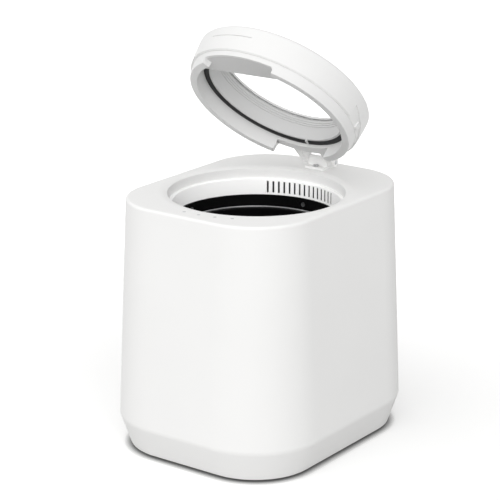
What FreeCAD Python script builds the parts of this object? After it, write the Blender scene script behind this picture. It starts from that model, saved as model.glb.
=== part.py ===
import FreeCAD, Part
import math
import os

# Kitchen composter with its lid standing open. Lengths in mm, angles in degrees, Z up.
# X is to the object's right, the front faces -Y, the floor is Z = 0.

# Body form, laid out round the top opening: deck widths beside the opening, corner radius at the top edge
SIDE_DECK = 6.9
FRONT_DECK = 25.5
REAR_DECK = 45.5
TOP_RADIUS = 70.4
BULGE_SPREAD = 10.6
BASE_TUCK = 12.0
BODY_HEIGHT = 287.0
BULGE_RISE = 34.6
BULGE_ROUND = 14.0
TOP_ROUND = 3.5
BASE_ROUND = 1.5
WALL = 3.0
FOOT_HEIGHT = 2.0

# Clearances and cut overrun
FIT = 0.3
RUNNING_FIT = 0.05
OVERRUN = 5.0

# Base
BASE_PLATE_THICKNESS = 3.0
BASE_FLANGE_WIDTH = 10.0
FOOT_RADIUS = 9.0
FOOT_STUD_RADIUS = 4.0
FOOT_SIDE_INSET = 44.0
FOOT_END_INSET = 42.6
SCREW_SHANK_RADIUS = 1.5
SCREW_HEAD_RADIUS = 3.2
SCREW_HEAD_HEIGHT = 1.8
BASE_VENT_LENGTH = 34.0
BASE_VENT_WIDTH = 3.0
BASE_VENT_PITCH = 8.0
BASE_VENT_COUNT = 6

# Opening in the top
RECESS_WALL = 3.0
RECESS_DEPTH = 12.0
RECESS_TAPER = 2.0
LIP_ROUND = 1.2
DISH_RADIUS = 108.5
DISH_WIDTH = 8.9
DISH_DEPTH = 2.2
DISH_CROWN = 0.4
LEDGE_WIDTH = 3.5
COLLAR_WALL = 1.6
COLLAR_HEIGHT = 19.0
SLIT_COUNT = 15
SLIT_HALF_SPAN = 28.0
SLIT_WIDTH = 2.2
SLIT_TOP_GAP = 3.0
SLIT_BOTTOM_GAP = 2.5

# Well, heater and bucket
LINER_STEP = 2.1
LINER_WALL = 1.5
LINER_FLOOR = 2.0
LINER_FLOOR_Z = 66.0
SEAL_HEIGHT = 2.0
SEAL_LAP = 0.9
RIVET_HEAD_RADIUS = 2.6
RIVET_HEAD_HEIGHT = 0.9
RIVET_SHANK_RADIUS = 1.5
RIVET_DROP = 7.0
HEATER_MARGIN = 5.0
HEATER_THICKNESS = 6.0
BUCKET_GAP = 3.0
BUCKET_TAPER = 4.0
BUCKET_WALL = 2.0
BUCKET_RIM_DROP = 44.0
BUCKET_RIM_WIDTH = 4.0
BUCKET_RIM_HEIGHT = 3.0
BUCKET_FLOOR_ROUND = 8.0
RIM_RING_RADIUS = 1.2

# Drive: agitator, coupling, gears, motor
BUSH_RADIUS = 11.0
BUSH_FLANGE_WIDTH = 4.0
BUSH_FLANGE_HEIGHT = 3.0
BUSH_RISE = 14.0
AGITATOR_SHAFT_RADIUS = 6.0
AGITATOR_HEIGHT = 78.0
AGITATOR_HUB_RADIUS = 13.0
BLADE_GAP = 9.0
BLADE_HEIGHT = 12.0
BLADE_THICKNESS = 7.0
BLADE_TILT = 25.0
BLADE_SPACING = 22.0
BLADE_COUNT = 3
BLADE_ROUND = 2.0
DOG_ACROSS_FLATS = 9.0
COUPLING_RADIUS = 12.0
COUPLING_GAP = 4.0
SHAFT_RADIUS = 5.0
CHASSIS_THICKNESS = 4.0
CHASSIS_MARGIN = 2.5
CHASSIS_POST_RADIUS = 5.0
CHASSIS_POST_INSET = 12.0
SHAFT_BUSH_RADIUS = 8.0
SHAFT_BUSH_FLANGE_WIDTH = 3.0
SHAFT_BUSH_FLANGE = 2.0
GEAR_MODULE = 1.5
GEAR_TEETH = 48
PINION_TEETH = 16
PRESSURE_ANGLE = 20.0
ADDENDUM_SHARE = 0.8
DEDENDUM_SHARE = 1.05
BACKLASH = 0.16
GEAR_CENTRE_EASE = 0.15
GEAR_WIDTH = 8.0
GEAR_HUB_RADIUS = 10.0
GEAR_WEB_HOLE_RADIUS = 6.0
GEAR_WEB_HOLE_COUNT = 6
MOTOR_RADIUS = 24.0
MOTOR_ROUND = 3.0
MOTOR_SHAFT_RADIUS = 4.0
MOTOR_GEAR_GAP = 3.0
MOTOR_FOOT_WIDTH = 64.0
MOTOR_FOOT_DEPTH = 34.0
MOTOR_FOOT_THICKNESS = 3.0

# Air path: duct, fan, filter drawer at the rear
FAN_FRONT_GAP = 4.4
FAN_DEPTH = 15.0
FAN_FRAME_WALL = 2.0
FAN_HUB_RADIUS = 11.0
FAN_SPINDLE_RADIUS = 3.0
FAN_BLADE_COUNT = 7
FAN_BLADE_CHORD = 11.0
FAN_BLADE_THICKNESS = 1.2
FAN_BLADE_PITCH = 38.0
FAN_TIP_GAP = 1.0
FAN_MOUNT_THICKNESS = 3.0
FAN_SPOKE_WIDTH = 3.0
FAN_SPOKE_COUNT = 3
FAN_REAR_GAP = 6.0
FAN_SCREW_INSET = 4.5
DUCT_WALL = 2.0
DUCT_HALF_WIDTH = 46.0
DUCT_SEAT_GAP = 1.5
FILTER_SLEEVE_WALL = 2.0
SLEEVE_RISE = 103.0
SLEEVE_DROP = 84.0
FILTER_SLEEVE_HALF_WIDTH = 52.0
SLEEVE_GAP = 3.5
DRAWER_WALL = 2.0
DRAWER_PANEL = 3.0
DRAWER_TRAY_SHARE = 0.6
GRIP_HALF_WIDTH = 22.0
GRIP_HEIGHT = 13.0
GRIP_DEPTH = 14.0
GRIP_DROP = 8.0
EXHAUST_COUNT = 7
EXHAUST_WIDTH = 60.0
EXHAUST_HEIGHT = 3.0
EXHAUST_BAND_SHARE = 0.49
EXHAUST_FLOOR_GAP = 12.0
CARTRIDGE_GAP = 0.5
CARTRIDGE_SHARE = 0.7

# Power inlet and circuit boards
INLET_WIDTH = 28.0
INLET_HEIGHT = 20.5
INLET_DEPTH = 26.0
INLET_WALL = 2.0
INLET_FLOOR = 8.0
INLET_SET_BACK = 1.8
INLET_FLANGE = 4.5
INLET_FLANGE_THICKNESS = 3.0
INLET_RISE = 64.0
PIN_WIDTH = 2.0
PIN_HEIGHT = 4.0
PIN_LENGTH = 13.0
PIN_SPACING = 7.0
PIN_OFFSET = 2.0
BOARD_THICKNESS = 1.6
BOARD_WIDTH = 84.0
BOARD_DEPTH = 52.0
BOARD_REAR_GAP = 25.6
STANDOFF_HEIGHT = 6.0
STANDOFF_RADIUS = 3.0
STANDOFF_INSET = 5.0
TRANSFORMER_WIDTH = 25.0
TRANSFORMER_DEPTH = 25.0
TRANSFORMER_HEIGHT = 20.0
TRANSFORMER_X = -17.5
TRANSFORMER_SHIFT = -2.5
RELAY_WIDTH = 20.0
RELAY_DEPTH = 10.0
RELAY_HEIGHT = 15.0
RELAY_X = 20.0
RELAY_SHIFT = -10.0
CAN_RADIUS = 5.0
CAN_HEIGHT = 20.0
CAN_PLACES = (10.0, 25.0)
CAN_SHIFT = 10.0
CONTROL_BOARD_OVERHANG = 7.0
CONTROL_FRONT_GAP = 3.9
CONTROL_REAR_GAP = 5.4
CONTROL_GAP = 6.0
CONTROL_POST_RADIUS = 2.5
CONTROL_POST_INSET = 5.0
MARK_RADIUS = 2.0
MARK_OFFSET = 9.5
MARK_ANGLES = (-95.0, -85.5, -76.0, -66.5)

# Lid, drawn closed about its own seam circle and then turned open
LID_OVERLAP = 2.2
LID_BULGE_SPREAD = 2.2
LID_BULGE_RISE = 28.0
LID_CROWN_HEIGHT = 8.0
LID_CROWN_WIDTH = 20.0
LID_WALL = 2.5
LID_SEAT_GAP = 0.4
SKIRT_DEPTH = 11.8
SKIRT_GAP = 0.5
SKIRT_WIDTH = 8.9
SKIRT_INNER_RISE = 9.0
SKIRT_RIM_ROUND = 1.0
SEAM_GROOVE = 0.8
NOTCH_HALF_SPAN = 28.0
NOTCH_CEILING = 5.3
NOTCH_ROUND = 3.5
NOTCH_PLATE = 2.0
NOTCH_CHEEK_SPAN = 1.5
HINGE_NOTCH_HALF_SPAN = 23.2
HINGE_NOTCH_RISE = 1.5
HINGE_RELIEF_RISE = 3.0
POCKET_DEPTH = 24.7
POCKET_TOP_GAP = 0.8
INNER_RING_TAPER = 3.0
INNER_RING_WALL = 2.3
INNER_RING_LAP = 2.0
STEP_WIDTH = 0.7
STEP_HEIGHT = 2.4
STEP_COUNT = 3
GASKET_WIDTH = 5.9
GASKET_HEIGHT = 3.4
GASKET_LIP_SHARE = 0.45
CLIP_PLACE = 87.5
CLIP_HALF_SPAN = 0.7
CLIP_REACH = 3.4
CLIP_HEIGHT = 1.2
WINDOW_LAP = 2.5
WINDOW_THICKNESS = 3.0
LID_OPEN_ANGLE = 45.4
GRIP_LINE_RISE = 17.5
GRIP_LINE_DEPTH = 0.7
GRIP_LINE_SHIFT = 8.7
GRIP_LINE_HALF_SPAN = 16.2
SCOOP_HEIGHT = 16.0
SCOOP_LENGTH = 70.0
SCOOP_DEPTH = 1.7
SCOOP_TAB_START = 12.5
SCOOP_TAB_END = 18.0
SCOOP_TAB_HEIGHT = 8.0

# Lid hinge on the rear deck
HINGE_GAP = 21.5
HINGE_RISE = 8.5
HINGE_PIN_RADIUS = 2.5
HINGE_KNUCKLE_RADIUS = 5.0
HINGE_KNUCKLE_HALF = 13.0
HINGE_ARM_WIDTH = 9.0
HINGE_FOOT_ROUND = 1.5
HINGE_FOOT_HEIGHT = 2.5
HINGE_FOOT_MARGIN = 1.5

# Shares and counts used by the shapes
half_share = 0.5
hexagon_sides = 6
flank_steps = 3
quarter_turn = 90.0
full_turn = 360.0
corner_signs = ((1, 1), (-1, 1), (-1, -1), (1, -1))
sides = (-1, 1)

# Body form: a core rectangle grown by a corner radius that changes with height
opening_y = (FRONT_DECK - REAR_DECK) * half_share
core_half_width = DISH_RADIUS + SIDE_DECK - TOP_RADIUS
core_half_depth = DISH_RADIUS + (FRONT_DECK + REAR_DECK) * half_share - TOP_RADIUS
bulge_corner = TOP_RADIUS + BULGE_SPREAD
base_corner = bulge_corner - BASE_TUCK

# Radii about the opening's axis, each from its neighbour
lip_radius = DISH_RADIUS - DISH_WIDTH
recess_radius = lip_radius - RECESS_TAPER
recess_outer = lip_radius + RECESS_WALL
collar_radius = recess_radius - LEDGE_WIDTH
liner_radius = collar_radius - LINER_STEP
bucket_top_radius = liner_radius - BUCKET_GAP - BUCKET_RIM_WIDTH
bucket_floor_radius = bucket_top_radius - BUCKET_TAPER
heater_radius = bucket_floor_radius - HEATER_MARGIN
blade_length = bucket_floor_radius - BUCKET_WALL - BLADE_GAP
liner_hole_radius = COUPLING_RADIUS + COUPLING_GAP
bush_flange_radius = BUSH_RADIUS + BUSH_FLANGE_WIDTH
shaft_bush_flange_radius = SHAFT_BUSH_RADIUS + SHAFT_BUSH_FLANGE_WIDTH
chassis_radius = liner_radius + LINER_WALL + CHASSIS_MARGIN
chassis_post_circle = chassis_radius - CHASSIS_POST_INSET
mark_circle = DISH_RADIUS + MARK_OFFSET
lid_seam_radius = lip_radius + LID_OVERLAP
lid_bulge_radius = lid_seam_radius + LID_BULGE_SPREAD
lid_flank_radius = (LID_BULGE_RISE ** 2 + LID_BULGE_SPREAD ** 2) / LID_BULGE_SPREAD * half_share
skirt_rim_radius = recess_radius - SKIRT_GAP
skirt_seam_radius = skirt_rim_radius + SKIRT_DEPTH * RECESS_TAPER / (RECESS_DEPTH - DISH_DEPTH)
skirt_inner_radius = skirt_rim_radius - SKIRT_WIDTH
skirt_hollow_depth = SKIRT_DEPTH - LID_WALL
notch_plate_share = (skirt_hollow_depth - NOTCH_CEILING) / skirt_hollow_depth
notch_plate_radius = skirt_rim_radius + (skirt_seam_radius - skirt_rim_radius) * notch_plate_share - LID_WALL - FIT
gasket_inner_radius = skirt_inner_radius - GASKET_WIDTH
inner_ring_radius = gasket_inner_radius - INNER_RING_WALL
inner_ring_top_radius = inner_ring_radius - INNER_RING_TAPER
window_radius = inner_ring_top_radius + WINDOW_LAP
pocket_chord = skirt_inner_radius - POCKET_DEPTH

# Levels and places worked out from the sizes above
base_z = FOOT_HEIGHT
bulge_z = base_z + BULGE_RISE
top_z = base_z + BODY_HEIGHT
split_z = top_z - TOP_ROUND
deck_under_z = top_z - WALL
base_top_z = base_z + BASE_PLATE_THICKNESS
lip_z = top_z - DISH_DEPTH
ledge_z = top_z - RECESS_DEPTH
collar_floor_z = ledge_z - COLLAR_HEIGHT
liner_inside_z = LINER_FLOOR_Z + LINER_FLOOR
bucket_floor_z = liner_inside_z + HEATER_THICKNESS
bucket_inside_z = bucket_floor_z + BUCKET_WALL
bucket_rim_z = top_z - BUCKET_RIM_DROP
chassis_z = LINER_FLOOR_Z - CHASSIS_THICKNESS
gear_top_z = chassis_z - SHAFT_BUSH_FLANGE
gear_floor_z = gear_top_z - GEAR_WIDTH
gear_distance = GEAR_MODULE * (GEAR_TEETH + PINION_TEETH) * half_share + GEAR_CENTRE_EASE
motor_y = opening_y - gear_distance
motor_top_z = gear_floor_z - MOTOR_GEAR_GAP
seam_z = ledge_z + LID_SEAT_GAP + SKIRT_DEPTH
lid_height = LID_BULGE_RISE + LID_CROWN_HEIGHT
gasket_bottom = SKIRT_INNER_RISE - GASKET_HEIGHT
inner_ring_foot = SKIRT_INNER_RISE - INNER_RING_LAP
pocket_top = gasket_bottom - POCKET_TOP_GAP
hinge_z = top_z + HINGE_RISE
hinge_local_y = lid_bulge_radius + HINGE_GAP
hinge_y = opening_y + hinge_local_y
hinge_local_z = hinge_z - seam_z
foot_x = core_half_width + base_corner - FOOT_SIDE_INSET
foot_y = core_half_depth + base_corner - FOOT_END_INSET
board_y = core_half_depth + base_corner - WALL - BOARD_REAR_GAP - BOARD_DEPTH * half_share
liner_rear_y = opening_y + liner_radius + LINER_WALL
sleeve_front_y = liner_rear_y + SLEEVE_GAP
sleeve_floor_z = base_z + SLEEVE_RISE
sleeve_top_z = top_z - SLEEVE_DROP
sleeve_height = sleeve_top_z - sleeve_floor_z
tray_height = sleeve_height * DRAWER_TRAY_SHARE
cartridge_height = sleeve_height * CARTRIDGE_SHARE
exhaust_pitch = sleeve_height * EXHAUST_BAND_SHARE / EXHAUST_COUNT
fan_top_z = sleeve_top_z + FAN_DEPTH
inlet_z = base_z + INLET_RISE


def V(x, y, z):
    return FreeCAD.Vector(x, y, z)


X_AXIS = V(1, 0, 0)
Y_AXIS = V(0, 1, 0)
Z_AXIS = V(0, 0, 1)
ORIGIN = V(0, 0, 0)


def outline(points, rounds=None):
    """Closed outline in the XZ plane; a corner with a round gets a tangent arc."""
    rounds = rounds or {}
    corners = [V(r, 0, z) for r, z in points]
    entry = []
    leave = []
    arcs = []
    for i, corner in enumerate(corners):
        size = rounds.get(i, 0)
        if not size:
            entry.append(corner)
            leave.append(corner)
            arcs.append(None)
            continue
        to_last = (corners[i - 1] - corner).normalize()
        to_next = (corners[(i + 1) % len(corners)] - corner).normalize()
        half = to_last.getAngle(to_next) * half_share
        middle = (to_last + to_next).normalize()
        start = corner + to_last * (size / math.tan(half))
        end = corner + to_next * (size / math.tan(half))
        crown = corner + middle * (size / math.sin(half) - size)
        entry.append(start)
        leave.append(end)
        arcs.append(Part.Arc(start, crown, end).toShape())
    edges = []
    for i in range(len(corners)):
        if arcs[i]:
            edges.append(arcs[i])
        following = entry[(i + 1) % len(corners)]
        if (following - leave[i]).Length > 0:
            edges.append(Part.makeLine(leave[i], following))
    return Part.Face(Part.Wire(edges))


def turned(points, rounds=None, angle=full_turn):
    """Solid of revolution about Z from an outline of (radius, height) points."""
    return outline(points, rounds).revolve(ORIGIN, Z_AXIS, angle)


def ring(inner, outer, low, high):
    return turned([(inner, low), (outer, low), (outer, high), (inner, high)])


def disc(radius, low, high, x=0, y=0):
    return Part.makeCylinder(radius, high - low, V(x, y, low))


def block(x0, x1, y0, y1, z0, z1):
    return Part.makeBox(x1 - x0, y1 - y0, z1 - z0, V(x0, y0, z0))


def joined(shapes):
    whole = shapes[0].multiFuse(shapes[1:]) if len(shapes) > 1 else shapes[0]
    return whole.removeSplitter()


def group(shapes):
    return Part.Compound(shapes)


def at_opening(shape):
    """Move a shape drawn about the Z axis onto the axis of the top opening."""
    moved = shape.copy()
    moved.translate(V(0, opening_y, 0))
    return moved


def turned_by(shape, angle, centre=ORIGIN, axis=Z_AXIS):
    moved = shape.copy()
    moved.rotate(centre, axis, angle)
    return moved


def around(count, shape):
    return [turned_by(shape, full_turn * i / count) for i in range(count)]


def sector(inner, outer, low, high, middle, half_span):
    """Wedge of a ring about Z, centred on the given angle."""
    piece = turned([(inner, low), (outer, low), (outer, high), (inner, high)], None, half_span + half_span)
    return turned_by(piece, middle - half_span)


def around_core(face):
    """Carry an outline round the body's core rectangle: four straight sides and four corners."""
    pieces = []
    runs = (core_half_depth, core_half_width)
    offsets = (core_half_width, core_half_depth)
    for k, (sign_x, sign_y) in enumerate(corner_signs):
        side = face.copy()
        side.translate(V(offsets[k % len(runs)], -runs[k % len(runs)], 0))
        side = side.extrude(Y_AXIS * (runs[k % len(runs)] + runs[k % len(runs)]))
        pieces.append(turned_by(side, quarter_turn * k))
        corner = turned_by(face.revolve(ORIGIN, Z_AXIS, quarter_turn), quarter_turn * k)
        corner.translate(V(sign_x * core_half_width, sign_y * core_half_depth, 0))
        pieces.append(corner)
    return joined(pieces)


def core_block(low, high):
    return block(-core_half_width, core_half_width, -core_half_depth, core_half_depth, low, high)


def wall_radius(z):
    """Outer radius of the body form at a height above the bulge."""
    return bulge_corner + (TOP_RADIUS - bulge_corner) * (z - bulge_z) / (top_z - bulge_z)


def base_radius(z):
    """Outer radius of the body form at a height below the bulge."""
    return base_corner + (bulge_corner - base_corner) * (z - base_z) / (bulge_z - base_z)


# Places that follow the sloping wall
fan_rear_y = core_half_depth + wall_radius(fan_top_z) - WALL - FAN_REAR_GAP
fan_size = fan_rear_y - liner_rear_y - FAN_FRONT_GAP
fan_middle_y = fan_rear_y - fan_size * half_share
fan_bore_radius = fan_size * half_share - FAN_FRAME_WALL
tongue_radius = wall_radius(split_z) - WALL - FIT
control_front_y = CONTROL_FRONT_GAP - core_half_depth - tongue_radius + WALL
control_rear_y = opening_y - recess_outer - CONTROL_REAR_GAP
control_half_width = core_half_width + CONTROL_BOARD_OVERHANG
control_post_x = control_half_width - CONTROL_POST_INSET


def body_form(inset):
    """Whole body form, shrunk by an inset, used to trim pieces that meet the wall."""
    face = outline([(0, base_z), (base_corner - inset, base_z), (bulge_corner - inset, bulge_z),
                    (wall_radius(split_z) - inset, split_z), (0, split_z)],
                   {2: BULGE_ROUND - inset})
    return joined([around_core(face), core_block(base_z, split_z)])


# Housing


def drawer_window(gap):
    """Cut-out of the rear wall for the filter drawer, larger by a gap."""
    half = FILTER_SLEEVE_HALF_WIDTH - FILTER_SLEEVE_WALL - FIT + gap
    low = sleeve_floor_z + FILTER_SLEEVE_WALL + FIT - gap
    high = sleeve_top_z - FILTER_SLEEVE_WALL - FIT + gap
    depth = core_half_depth + bulge_corner + OVERRUN
    return block(-half, half, sleeve_front_y + FILTER_SLEEVE_WALL + FIT, depth, low, high)


def inlet_window(gap):
    half_width = INLET_WIDTH * half_share + gap
    half_height = INLET_HEIGHT * half_share + gap
    rear = core_half_depth + wall_radius(inlet_z)
    return block(-half_width, half_width, rear - INLET_DEPTH, rear + OVERRUN,
                 inlet_z - half_height, inlet_z + half_height)


def screw_spots():
    """Places of the base screws, on the inner flange of the shell."""
    reach = base_corner - WALL - BASE_FLANGE_WIDTH * half_share
    spots = []
    for sign_x, sign_y in corner_signs:
        diagonal = math.radians(quarter_turn * half_share)
        spots.append((sign_x * (core_half_width + reach * math.cos(diagonal)),
                      sign_y * (core_half_depth + reach * math.sin(diagonal))))
    for side in sides:
        spots.append((side * (core_half_width + reach), 0))
    return spots


def outer_shell():
    flange_top = base_top_z + WALL
    face = outline([(base_corner, base_z), (bulge_corner, bulge_z), (wall_radius(split_z), split_z),
                    (wall_radius(split_z) - WALL, split_z), (bulge_corner - WALL, bulge_z),
                    (base_radius(flange_top) - WALL, flange_top),
                    (base_corner - WALL - BASE_FLANGE_WIDTH, flange_top),
                    (base_corner - WALL - BASE_FLANGE_WIDTH, base_top_z),
                    (base_corner - WALL + FIT, base_top_z), (base_corner - WALL + FIT, base_z)],
                   {0: BASE_ROUND, 1: BULGE_ROUND, 4: BULGE_ROUND - WALL})
    shell = around_core(face)
    cuts = [drawer_window(FIT), inlet_window(FIT)]
    for x, y in screw_spots():
        cuts.append(disc(SCREW_SHANK_RADIUS, base_top_z - OVERRUN, flange_top + OVERRUN, x, y))
    return shell.cut(Part.Compound(cuts))


def foot_spots():
    return [(sx * foot_x, sy * foot_y) for sx, sy in corner_signs]


def base_plate():
    face = outline([(0, base_z), (base_corner - WALL, base_z), (base_corner - WALL, base_top_z), (0, base_top_z)])
    plate = joined([around_core(face), core_block(base_z, base_top_z)])
    cuts = []
    for x, y in screw_spots():
        cuts.append(disc(SCREW_HEAD_RADIUS + FIT, base_z - OVERRUN, base_z + SCREW_HEAD_HEIGHT, x, y))
        cuts.append(disc(SCREW_SHANK_RADIUS, base_z - OVERRUN, base_top_z + OVERRUN, x, y))
    for x, y in foot_spots():
        cuts.append(disc(FOOT_STUD_RADIUS, base_z - OVERRUN, base_top_z + OVERRUN, x, y))
    for side in sides:
        for i in range(BASE_VENT_COUNT):
            y = (i - (BASE_VENT_COUNT - 1) * half_share) * BASE_VENT_PITCH
            half = BASE_VENT_WIDTH * half_share
            middle = side * foot_x
            reach = BASE_VENT_LENGTH * half_share
            cuts.append(block(middle - reach, middle + reach, y - half, y + half,
                              base_z - OVERRUN, base_top_z + OVERRUN))
    return plate.cut(Part.Compound(cuts))


def feet():
    pads = []
    for x, y in foot_spots():
        pad = disc(FOOT_RADIUS, 0, base_z, x, y)
        pads.append(joined([pad, disc(FOOT_STUD_RADIUS, 0, base_top_z, x, y)]))
    return group(pads)


def base_screws():
    screws = []
    for x, y in screw_spots():
        head = disc(SCREW_HEAD_RADIUS, base_z, base_z + SCREW_HEAD_HEIGHT, x, y)
        shank = disc(SCREW_SHANK_RADIUS, base_z, base_top_z + WALL, x, y)
        screws.append(joined([head, shank]))
    return group(screws)


def mark_spots():
    spots = []
    for angle in MARK_ANGLES:
        turn = math.radians(angle)
        spots.append((mark_circle * math.cos(turn), opening_y + mark_circle * math.sin(turn)))
    return spots


def control_posts():
    middle = (control_front_y + control_rear_y) * half_share
    return [(side * control_post_x, middle) for side in sides]


def deck_lip():
    """Turned lip of the opening: the dished brim, the recess wall and a stiffer underside."""
    lip = V(lip_radius, 0, lip_z)
    brim = V(DISH_RADIUS, 0, top_z)
    across = (brim - lip).normalize()
    crown = (lip + brim) * half_share + V(-across.z, 0, across.x) * DISH_CROWN
    outer = recess_outer
    corners = [lip, V(recess_radius, 0, ledge_z), V(outer, 0, ledge_z), V(outer, 0, deck_under_z - WALL),
               V(DISH_RADIUS, 0, deck_under_z - WALL), brim]
    edges = [Part.makeLine(start, end) for start, end in zip(corners, corners[1:])]
    edges.append(Part.Arc(brim, crown, lip).toShape())
    return at_opening(Part.Face(Part.Wire(edges)).revolve(ORIGIN, Z_AXIS, full_turn))


def top_cover():
    edge = wall_radius(split_z)
    tongue = tongue_radius
    face = outline([(0, deck_under_z), (tongue - WALL, deck_under_z), (tongue - WALL, split_z - TOP_ROUND),
                    (tongue, split_z - TOP_ROUND), (tongue, split_z), (edge, split_z), (TOP_RADIUS, top_z),
                    (0, top_z)], {6: TOP_ROUND - FIT})
    cover = joined([around_core(face), core_block(deck_under_z, top_z)])
    cuts = [at_opening(disc(DISH_RADIUS, split_z - TOP_ROUND - OVERRUN, top_z + OVERRUN))]
    for x, y in mark_spots():
        cuts.append(disc(MARK_RADIUS, top_z - CONTROL_GAP, top_z + OVERRUN, x, y))
    for y in hinge_screw_spots():
        cuts.append(disc(SCREW_SHANK_RADIUS, deck_under_z - OVERRUN, top_z + OVERRUN, 0, y))
    posts = [disc(CONTROL_POST_RADIUS, top_z - CONTROL_GAP, deck_under_z, x, y) for x, y in control_posts()]
    return joined([cover.cut(Part.Compound(cuts)), deck_lip()] + posts)


def opening_collar():
    low = collar_floor_z
    face = [(collar_radius, low), (collar_radius + COLLAR_WALL, low),
            (collar_radius + COLLAR_WALL, ledge_z - WALL), (recess_outer, ledge_z - WALL), (recess_outer, ledge_z),
            (collar_radius, ledge_z)]
    collar = turned(face, {5: LIP_ROUND})
    half = SLIT_WIDTH * half_share
    slit = block(collar_radius - OVERRUN, collar_radius + COLLAR_WALL + OVERRUN, -half, half,
                 low + SLIT_BOTTOM_GAP, ledge_z - SLIT_TOP_GAP)
    step = (SLIT_HALF_SPAN + SLIT_HALF_SPAN) / (SLIT_COUNT - 1)
    slits = [turned_by(slit, quarter_turn - SLIT_HALF_SPAN + step * i) for i in range(SLIT_COUNT)]
    return at_opening(collar.cut(Part.Compound(slits)))


# Well, heater and bucket


def rivet_at_side(head_radius, shank_radius, extra):
    """One rivet along +X through the well's wall."""
    z = collar_floor_z - RIVET_DROP
    head = Part.makeCylinder(head_radius, RIVET_HEAD_HEIGHT, V(liner_radius - RIVET_HEAD_HEIGHT, 0, z), X_AXIS)
    shank = Part.makeCylinder(shank_radius, LINER_WALL + extra, V(liner_radius, 0, z), X_AXIS)
    return head, shank


def well_liner():
    liner = ring(liner_radius, liner_radius + LINER_WALL, liner_inside_z, collar_floor_z)
    holes = around(len(corner_signs), rivet_at_side(RIVET_HEAD_RADIUS, RIVET_SHANK_RADIUS, OVERRUN)[1])
    flats = around(len(corner_signs), rivet_at_side(RIVET_HEAD_RADIUS, RIVET_SHANK_RADIUS, OVERRUN)[0])
    return at_opening(liner.cut(Part.Compound(holes + flats)))


def well_floor():
    """Round floor under the liner's wall, open in the middle for the coupling."""
    return at_opening(ring(liner_hole_radius, liner_radius + LINER_WALL, LINER_FLOOR_Z, liner_inside_z))


def liner_seal():
    """Ring round the liner's upper edge that carries the collar."""
    outer = collar_radius + COLLAR_WALL + SEAL_LAP
    return at_opening(ring(liner_radius + LINER_WALL, outer, collar_floor_z - SEAL_HEIGHT, collar_floor_z))


def liner_rivets():
    """Four rivets; each head is trimmed to sit on the curved wall."""
    head, shank = rivet_at_side(RIVET_HEAD_RADIUS, RIVET_SHANK_RADIUS, RIVET_HEAD_HEIGHT)
    rivet = joined([head, shank])
    return group([at_opening(one) for one in around(len(corner_signs), rivet)])


def heater_plate():
    return at_opening(ring(liner_hole_radius, heater_radius, liner_inside_z, bucket_floor_z))


def bucket():
    low = bucket_floor_z
    rim = bucket_rim_z
    under = rim - BUCKET_RIM_HEIGHT
    face = [(BUSH_RADIUS, low), (bucket_floor_radius, low), (bucket_top_radius, under),
            (bucket_top_radius + BUCKET_RIM_WIDTH, under), (bucket_top_radius + BUCKET_RIM_WIDTH, rim),
            (bucket_top_radius - BUCKET_WALL, rim), (bucket_floor_radius - BUCKET_WALL, bucket_inside_z),
            (BUSH_RADIUS, bucket_inside_z)]
    rounds = {1: BUCKET_FLOOR_ROUND, 4: LIP_ROUND, 5: LIP_ROUND, 6: BUCKET_FLOOR_ROUND - BUCKET_WALL}
    return at_opening(turned(face, rounds))


def bucket_rim_ring():
    """Bright bead that lies on top of the bucket's rim."""
    middle = bucket_top_radius + BUCKET_RIM_WIDTH * half_share
    wide = RIM_RING_RADIUS
    face = [(middle - wide, bucket_rim_z), (middle + wide, bucket_rim_z),
            (middle + wide, bucket_rim_z + wide), (middle - wide, bucket_rim_z + wide)]
    return at_opening(turned(face, {2: wide * half_share, 3: wide * half_share}))


def bucket_bush():
    inner = AGITATOR_SHAFT_RADIUS + RUNNING_FIT
    face = [(inner, bucket_floor_z), (BUSH_RADIUS, bucket_floor_z), (BUSH_RADIUS, bucket_inside_z),
            (bush_flange_radius, bucket_inside_z), (bush_flange_radius, bucket_inside_z + BUSH_FLANGE_HEIGHT),
            (BUSH_RADIUS, bucket_inside_z + BUSH_FLANGE_HEIGHT), (BUSH_RADIUS, bucket_inside_z + BUSH_RISE),
            (inner, bucket_inside_z + BUSH_RISE)]
    return at_opening(turned(face))


# Drive


def hexagon(across_flats, low, high):
    step = math.radians(full_turn / hexagon_sides)
    radius = across_flats * half_share / math.cos(step * half_share)
    corners = [V(radius * math.cos(step * i), radius * math.sin(step * i), low) for i in range(hexagon_sides)]
    return Part.Face(Part.makePolygon(corners + corners[:1])).extrude(Z_AXIS * (high - low))


def agitator():
    hub_z = bucket_inside_z + BUSH_RISE + FIT
    top = hub_z + AGITATOR_HEIGHT
    shaft = disc(AGITATOR_SHAFT_RADIUS, bucket_floor_z - FIT, hub_z + FIT)
    post = turned([(0, hub_z), (AGITATOR_HUB_RADIUS, hub_z), (AGITATOR_HUB_RADIUS, top), (0, top)],
                  {2: AGITATOR_HUB_RADIUS * half_share})
    dog = hexagon(DOG_ACROSS_FLATS, liner_inside_z + FIT + FIT, bucket_floor_z)
    blades = []
    for i in range(BLADE_COUNT):
        half = BLADE_THICKNESS * half_share
        low = hub_z + BLADE_SPACING * i
        blade = block(0, blade_length, -half, half, low, low + BLADE_HEIGHT)
        tips = [edge for edge in blade.Edges if edge.BoundBox.XMin > half]
        blade = blade.makeFillet(BLADE_ROUND, tips)
        middle = V(0, 0, low + BLADE_HEIGHT * half_share)
        blade = turned_by(blade, BLADE_TILT, middle, X_AXIS)
        blade.translate(Z_AXIS * half)
        blades.append(turned_by(blade, full_turn * i / BLADE_COUNT))
    return at_opening(joined([shaft, post, dog] + blades))


def drive_coupling():
    top = bucket_floor_z - FIT - FIT
    cup = disc(COUPLING_RADIUS, LINER_FLOOR_Z + SHAFT_BUSH_FLANGE + FIT, top)
    socket = hexagon(DOG_ACROSS_FLATS + RUNNING_FIT + RUNNING_FIT, liner_inside_z + FIT + FIT, top + OVERRUN)
    return at_opening(cup.cut(socket))


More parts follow.
